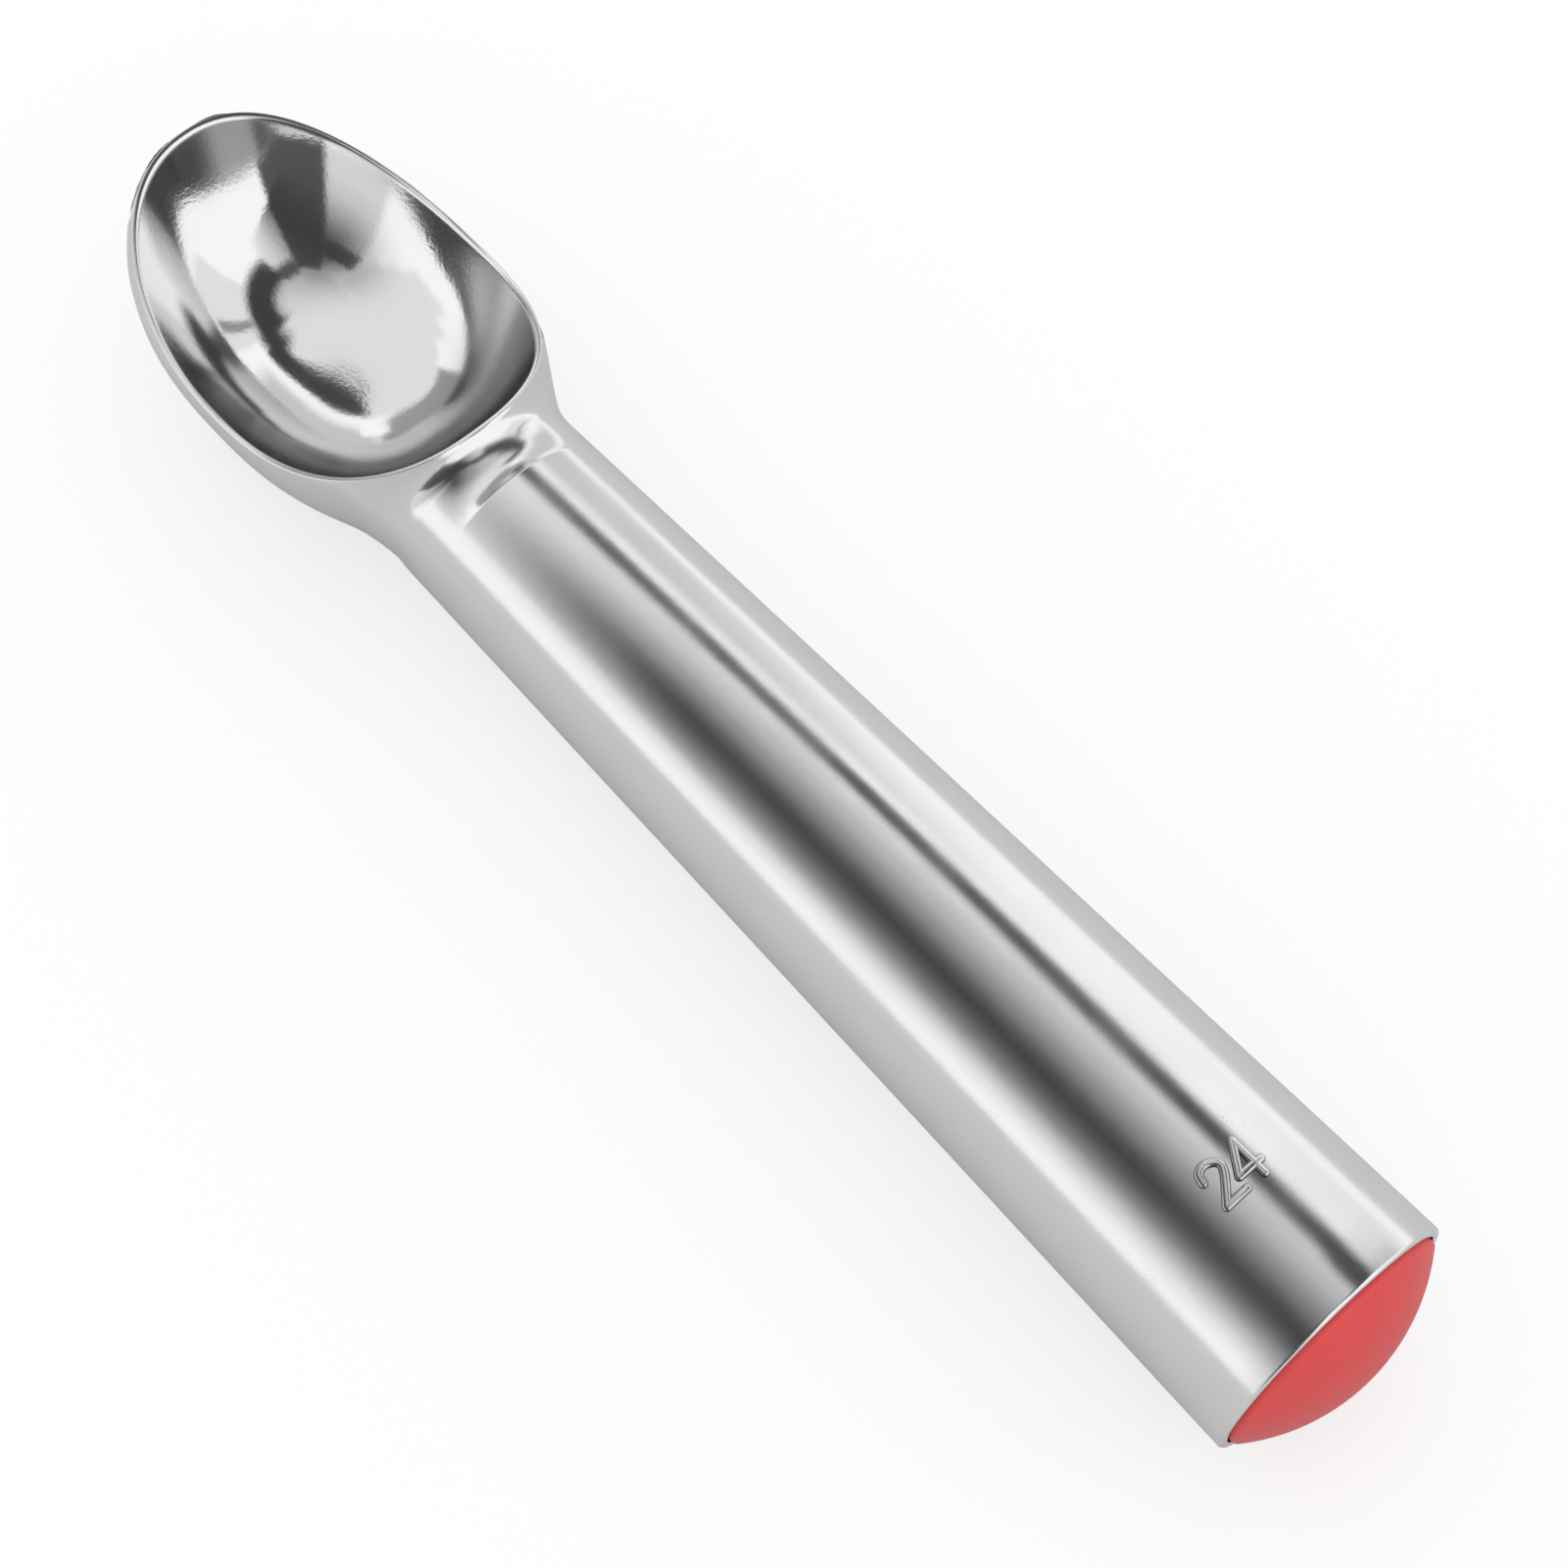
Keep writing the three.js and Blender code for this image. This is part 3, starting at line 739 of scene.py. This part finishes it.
skin = calc(tree, "MULTIPLY_ADD", noise(tree, coordinates, 6000.0), 0.22, skin)
relief(tree, shader, calc(tree, "MULTIPLY_ADD", pits, -0.2, skin), microns=9.0)
print("outside finish:", satin.name)

# %% [markdown]
# The bowl is polished until it mirrors the room. Its steep back wall is painted greyer and is a little
# rougher:
# the grey is painted shade that stands for a dark reflection there. A metal still turns white where it is
# seen at a low angle, and a grey specular tint holds that back.

# %% Polished aluminium of the bowl
tree, shader, coordinates = finish_of(polish)
shader.inputs["Metallic"].default_value = 1.0
shader.inputs["Specular Tint"].default_value = (0.6, 0.6, 0.6, 1)
pits = use_group(tree, specks, place=coordinates, fineness=6500.0, share=0.2)
smudge = use_group(tree, haze, place=coordinates, fineness=120.0)
# The specks are real; the steep wall's darker grey is painted shade standing for a dark reflection.
wall = use_group(tree, steep, place=coordinates)
specks_and_painted_shade = calc(tree, "MULTIPLY_ADD", pits, 0.2, calc(tree, "MULTIPLY", wall, 0.9), clamp=True)
blend_colour(tree, shader, specks_and_painted_shade, clean=bare_aluminium, marked=(0.38, 0.38, 0.385))
polish_rough = calc(tree, "MULTIPLY_ADD", smudge, 0.04, 0.075)
feed(tree, shader.inputs["Roughness"], calc(tree, "MULTIPLY_ADD", wall, 0.12, polish_rough))
skin = use_group(tree, ripple, place=coordinates, fineness=1900.0)
skin = calc(tree, "MULTIPLY_ADD", noise(tree, coordinates, 5000.0), 0.35, skin)
relief(tree, shader, skin, microns=5.5)
print("bowl finish:", polish.name)

# %% [markdown]
# The corner at the foot of the raised number is painted dark: painted shade where the bead meets the
# handle, so a dark line runs round its strokes. How proud a point stands is its distance from the handle's
# axis, less the handle's radius there.

# %% Satin of the raised number, with painted shade at its foot
shade_full_below, shade_gone_above = 0.1 * MM, 0.34 * MM
tree, shader, coordinates = finish_of(number_satin)
shader.inputs["Metallic"].default_value = 1.0
where = parts_of(tree, coordinates)
upwards = calc(tree, "SUBTRACT", where["Z"], place(0, 0, 0)[2])
taper = handle_radius(1) - handle_radius(0)
handle_skin = calc(tree, "MULTIPLY_ADD", where["X"], taper, handle_radius(middle) * MM)
proud = calc(tree, "SUBTRACT", hypotenuse(tree, upwards, where["Y"]), handle_skin)
# Painted shade: the colour goes dark near the handle's skin, a line of shade in the corner round each bead.
foot_shade = calc(tree, "SUBTRACT", 1.0, between(tree, proud, shade_full_below, shade_gone_above))
blend_colour(tree, shader, foot_shade, clean=(0.9, 0.9, 0.905), marked=(0.05, 0.05, 0.051))
feed(tree, shader.inputs["Roughness"], calc(tree, "MULTIPLY_ADD", foot_shade, 0.2, 0.17))
relief(tree, shader, use_group(tree, ripple, place=coordinates, fineness=2500.0), microns=8.0)
print("number finish:", number_satin.name)

# %% [markdown]
# The cap's plastic is coloured right through and comes from a smooth mould, so it has a soft gloss and hardly
# any relief. Hands make it a little duller and paler in places.

# %% Red plastic of the cap
red = bpy.data.materials.new("red_moulded")
tree, shader, coordinates = finish_of(red)
smudge = use_group(tree, haze, place=coordinates, fineness=110.0)
blend_colour(tree, shader, smudge, clean=(0.8, 0.064, 0.066), marked=(0.83, 0.074, 0.074))
feed(tree, shader.inputs["Roughness"], calc(tree, "MULTIPLY_ADD", smudge, 0.08, 0.34))
relief(tree, shader, use_group(tree, ripple, place=coordinates, fineness=2600.0), microns=2.5)
cap.data.materials.clear()
cap.data.materials.append(red)
print("cap finish:", red.name)

# %% [markdown]
# Three parts stay out of sight inside the handle: the liquid that carries the warmth of the hand to the bowl,
# the nylon plug that shuts its chamber, and the rubber ring round the plug. Their solids already have the
# right shape, so they stay and get a finish of their own.

# %% Finishes of the hidden parts
def dress(node, material):
    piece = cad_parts[node]
    piece.data.materials.clear()
    piece.data.materials.append(material)
    print(node, "wears", material.name)


liquid = bpy.data.materials.new("clear_glycol")
tree, shader, coordinates = finish_of(liquid)
shader.inputs["Transmission Weight"].default_value = 1.0
shader.inputs["IOR"].default_value = 1.43
clouds = use_group(tree, haze, place=coordinates, fineness=45.0)
blend_colour(tree, shader, clouds, clean=(0.8, 0.93, 0.96), marked=(0.72, 0.89, 0.94))
feed(tree, shader.inputs["Roughness"], calc(tree, "MULTIPLY_ADD", clouds, 0.03, 0.02))
dress("heat_fluid", liquid)

nylon = bpy.data.materials.new("nylon_plug")
tree, shader, coordinates = finish_of(nylon)
smudge = use_group(tree, haze, place=coordinates, fineness=180.0)
blend_colour(tree, shader, smudge, clean=(0.8, 0.78, 0.71), marked=(0.72, 0.7, 0.62))
feed(tree, shader.inputs["Roughness"], calc(tree, "MULTIPLY_ADD", smudge, 0.12, 0.42))
relief(tree, shader, use_group(tree, ripple, place=coordinates, fineness=1400.0), microns=6.0)
dress("seal_plug", nylon)

rubber = bpy.data.materials.new("ring_rubber")
tree, shader, coordinates = finish_of(rubber)
bloom = use_group(tree, specks, place=coordinates, fineness=3000.0, share=0.5)
blend_colour(tree, shader, bloom, clean=(0.013, 0.013, 0.014), marked=(0.045, 0.045, 0.048))
feed(tree, shader.inputs["Roughness"], calc(tree, "MULTIPLY_ADD", bloom, 0.15, 0.6))
relief(tree, shader, use_group(tree, ripple, place=coordinates, fineness=1800.0), microns=8.0)
dress("plug_o_ring", rubber)

# %% [markdown]
# The camera looks down on the scoop from beside the handle, with the bowl at the top left. Its three axes
# come from two angles, the tilt of the handle against the picture and its roll, and its place is measured
# along them from the middle of the handle's rear face. Then the picture is turned by half a right angle.

# %% Camera
tilt, roll = math.radians(18.654), math.radians(19)
steps_right, steps_up, steps_back, lens_length = -78.193, 0.657, 333.86, 76.5
view_right = Vector((-math.cos(tilt), -math.sin(roll) * math.sin(tilt), -math.cos(roll) * math.sin(tilt)))
view_up = Vector((0, -math.cos(roll), math.sin(roll)))
view_back = view_right.cross(view_up)
camera_place = view_right * steps_right + view_up * steps_up + view_back * steps_back
turned_right = (view_right + view_up).normalized()
turned_up = (view_up - view_right).normalized()
camera_data = bpy.data.cameras.new("camera")
camera_data.sensor_width = 36
camera_data.lens = lens_length
camera_data.clip_start = 0.01
camera = bpy.data.objects.new("camera", camera_data)
scene.collection.objects.link(camera)
scene.camera = camera
axes = Matrix((turned_right, turned_up, view_back)).transposed().to_4x4()
camera.matrix_world = Matrix.Translation(place(*camera_place)) @ axes
print("camera at", [round(v, 3) for v in camera.matrix_world.translation])

# %% [markdown]
# A white world lights everything evenly, so colours come out as they are written. Bright metal shows what
# stands round it, though, and in an all-white room it would have no shape. So the scoop is set in a tent as a
# photographer would: cloth walls of different greys with dark seams between them, a dark card beside the
# handle, and a grey sheet on the floor. These are seen in reflections only, and throw no shade.

# %% White world
world = bpy.data.worlds.new("white_room")
scene.world = world
world.use_nodes = True
world.node_tree.nodes["Background"].inputs["Color"].default_value = (1, 1, 1, 1)
world.node_tree.nodes["Background"].inputs["Strength"].default_value = 1.0
print("world:", world.name)

# %% Helpers for the stage
def staged(name, colour):
    thing = bpy.context.active_object
    thing.name = name
    material = bpy.data.materials.new(name)
    material.use_nodes = True
    shader = material.node_tree.nodes["Principled BSDF"]
    shader.inputs["Base Color"].default_value = (colour, colour, colour, 1)
    shader.inputs["Roughness"].default_value = 1.0
    shader.inputs["Specular IOR Level"].default_value = 0.0
    thing.data.materials.append(material)
    return thing, material.node_tree, shader


def reflected_only(thing):
    thing.visible_camera = False
    thing.visible_diffuse = False
    thing.visible_shadow = False


def glow(tree, shader, share):
    path = tree.nodes.new("ShaderNodeLightPath").outputs
    seen = calc(tree, "MAXIMUM", path["Is Camera Ray"], path["Is Glossy Ray"])
    seen = calc(tree, "MAXIMUM", seen, path["Is Transmission Ray"])
    shader.inputs["Emission Color"].default_value = (1, 1, 1, 1)
    feed(tree, shader.inputs["Emission Strength"], calc(tree, "MULTIPLY", seen, share))


# %% [markdown]
# The handle tapers, so a scoop that is put down lies on the foot of its rear end and on the round of its
# bowl. The scoop's place is given, so the floor leans by that small angle instead. The floor is grey, so that
# it throws little light up on the metal, and where it is seen it glows by what is missing to white.

# %% Pale floor, and the grey sheet on it
floor_shade, floor_size = 0.35, 8
sheet_shade, sheet_size, sheet_height = 0.6, 1.6, 0.2
belly = [(x, underside_height(x) + rear_radius) for x in np.linspace(rim_back, bowl_tip, 60)]
lean = min(math.atan2(height, x - lip_round) for x, height in belly)
floor_turn = (0, -lean, 0)
foot = place(lip_round, 0, -rear_radius)
above_foot = place(lip_round, 0, sheet_height - rear_radius)
bpy.ops.object.select_all(action="DESELECT")
bpy.ops.mesh.primitive_plane_add(size=floor_size, location=foot, rotation=floor_turn)
_, tree, shader = staged("pale_floor", floor_shade)
glow(tree, shader, 1 - floor_shade)
bpy.ops.mesh.primitive_plane_add(size=sheet_size, location=above_foot, rotation=floor_turn)
grey_sheet, tree, shader = staged("grey_sheet", sheet_shade)
reflected_only(grey_sheet)
print("floor leans", round(math.degrees(lean), 2), "degrees, shaded by", floor_shade)

# %% [markdown]
# The tent is a large ball round the scoop that glows by direction. Its walls could be cut from cloth and hung
# one by one, but what counts is only how far each reaches round and up as seen from the scoop. So a panel is
# a node group: a patch given by its middle and half its reach in degrees, soft at its edges, and laid over
# the shade of the panels before it.

# %% Tent: one panel
panel, given, result = new_group("tent_panel", {
    "Below": 1.0, "Turn": 0.0, "Rise": 0.0, "Turn Middle": 0.0, "Turn Half": 30.0, "Rise Middle": 30.0,
    "Rise Half": 20.0, "Softness": 6.0, "Shade": 1.0}, "Shade")
turned = calc(panel, "SUBTRACT", given["Turn"], given["Turn Middle"])
away = calc(panel, "ABSOLUTE", calc(panel, "WRAP", turned, 180.0, -180.0))
above = calc(panel, "ABSOLUTE", calc(panel, "SUBTRACT", given["Rise"], given["Rise Middle"]))
half_soft = calc(panel, "MULTIPLY", given["Softness"], 0.5)


def inside_of(distance, half):
    low = calc(panel, "SUBTRACT", half, half_soft)
    return calc(panel, "SUBTRACT", 1.0, between(panel, distance, low, calc(panel, "ADD", half, half_soft)))


cover = calc(panel, "MULTIPLY", inside_of(away, given["Turn Half"]), inside_of(above, given["Rise Half"]))
change = calc(panel, "SUBTRACT", given["Shade"], given["Below"])
feed(panel, result, calc(panel, "MULTIPLY_ADD", change, cover, given["Below"]))
print("panel:", panel.name)

# %% Tent: its walls, each with turn and half turn, rise and half rise, softness and shade
tent_radius = 5
tent_panels = [
    ("roof", 0, 181, 90, 18, 4, 0.78),
    ("roof_front", 10, 42, 65, 24, 4, 0.78),
    ("roof_corner", 55, 28, 56, 16, 7, 0.78),
    ("roof_corner_low", 58, 18, 50, 18, 7, 0.78),
    ("roof_corner_tip", 60, 9, 45, 20, 7, 0.78),
    ("roof_far", 306, 26, 74, 18, 9, 0.78),
    ("light_wall", 106, 16, 23, 23, 4, 0.7),
    ("seam_front", 104, 15, 52, 7, 5, 0.1),
    ("dark_wall", 143, 22, 34, 37, 4, 0.09),
    ("roof_back", 184, 19, 68, 6, 6, 0.1),
    ("light_wall_side", 255, 25, 29, 19, 4, 0.8),
    ("seam_side", 243, 44, 60, 11, 9, 0.05),
    ("seam_bend", 291, 12, 55.5, 8, 11, 0.05),
    ("seam_far", 310, 21, 50, 5.5, 3, 0.05),
    ("seam_thin", 267, 3.5, 35, 15, 4, 0.3),
    ("grey_wall", 312, 20, 22, 14, 10, 0.6),
    ("tip_wall", 357, 24, 24, 16, 5, 0.33),
    ("gap", 331, 6, 36, 7, 3, 1.0),
]
tent_middle = place(middle, 0, 0)
bpy.ops.mesh.primitive_uv_sphere_add(segments=64, ring_count=32, radius=tent_radius, location=tent_middle)
tent, tree, shader = staged("light_tent", 0.0)
reflected_only(tent)
outward = tree.nodes.new("ShaderNodeVectorMath")
outward.operation = "NORMALIZE"
feed(tree, outward.inputs[0], tree.nodes.new("ShaderNodeTexCoord").outputs["Object"])
where = parts_of(tree, outward.outputs[0])
turn = calc(tree, "DEGREES", calc(tree, "ARCTAN2", where["Y"], where["X"]))
rise = calc(tree, "DEGREES", calc(tree, "ARCSINE", where["Z"]))
shade = 1.0
for name, turn_middle, turn_half, rise_middle, rise_half, softness, value in tent_panels:
    shade = use_group(tree, panel, below=shade, turn=turn, rise=rise, softness=softness, shade=value,
                      turn_middle=turn_middle, turn_half=turn_half,
                      rise_middle=rise_middle, rise_half=rise_half)
    shade.node.label = name
feed(tree, shader.inputs["Emission Color"], shade)
shader.inputs["Emission Strength"].default_value = 1.0
tent.data.materials[0].cycles.emission_sampling = "NONE"
print("tent:", len(tent_panels), "panels")

# %% [markdown]
# The dark band along the handle is the reflection of a card that stands beside it and fades away to both
# edges. The fade is written by the angle at which the handle's axis sees it, and each angle is carried to its
# place on the card, so the card can be moved and the band stays.

# %% Card: its place and its fade
card_low, card_high = Vector((0.15, 0.05)), Vector((-0.06, 0.19))
card_start, card_end = -0.14, 0.12
card_span = card_high - card_low
card_shade, card_ending = 0.05, 0.71
fade = [
    (13, 0.03), (22, 0.18), (32, 0.5), (42, 0.79), (52, 0.95), (60, 1.0),
    (68, 0.93), (76, 0.76), (84, 0.62), (92, 0.42), (101, 0.28), (109, 0.05),
]


def card_share(angle):
    c, s = math.cos(math.radians(angle)), math.sin(math.radians(angle))
    low = card_low - Vector((0, rear_radius * MM))
    return (low.x * s - low.y * c) / (card_span.y * c - card_span.x * s)


print("card:", [round(card_share(angle), 3) for angle, _ in fade])

# %% Card: a plane, see-through where it fades
card_middle = (card_low + card_high) / 2
bpy.ops.mesh.primitive_plane_add(
    size=1, location=((card_start + card_end) / 2, card_middle.x, card_middle.y),
    rotation=(math.atan2(card_span.y, card_span.x), 0, 0))
card, tree, shader = staged("fading_card", 0.0)
card.scale = (card_end - card_start, card_span.length, 1)
reflected_only(card)
where = parts_of(tree, tree.nodes.new("ShaderNodeTexCoord").outputs["UV"])
ramp = tree.nodes.new("ShaderNodeValToRGB")
feed(tree, ramp.inputs["Fac"], where["Y"])
stops = ramp.color_ramp.elements
while len(stops) < len(fade):
    stops.new(0.5)
for stop, (angle, value) in zip(stops, fade):
    stop.position = min(1.0, max(0.0, card_share(angle)))
    stop.color = (value, value, value, 1)
shown = calc(tree, "SUBTRACT", 1.0, between(tree, where["X"], card_ending, 1.0))
feed(tree, shader.inputs["Alpha"], calc(tree, "MULTIPLY", ramp.outputs["Color"], shown))
shader.inputs["Emission Color"].default_value = (1, 1, 1, 1)
shader.inputs["Emission Strength"].default_value = card_shade
card.data.materials[0].cycles.emission_sampling = "NONE"
print("card stops:", len(stops))
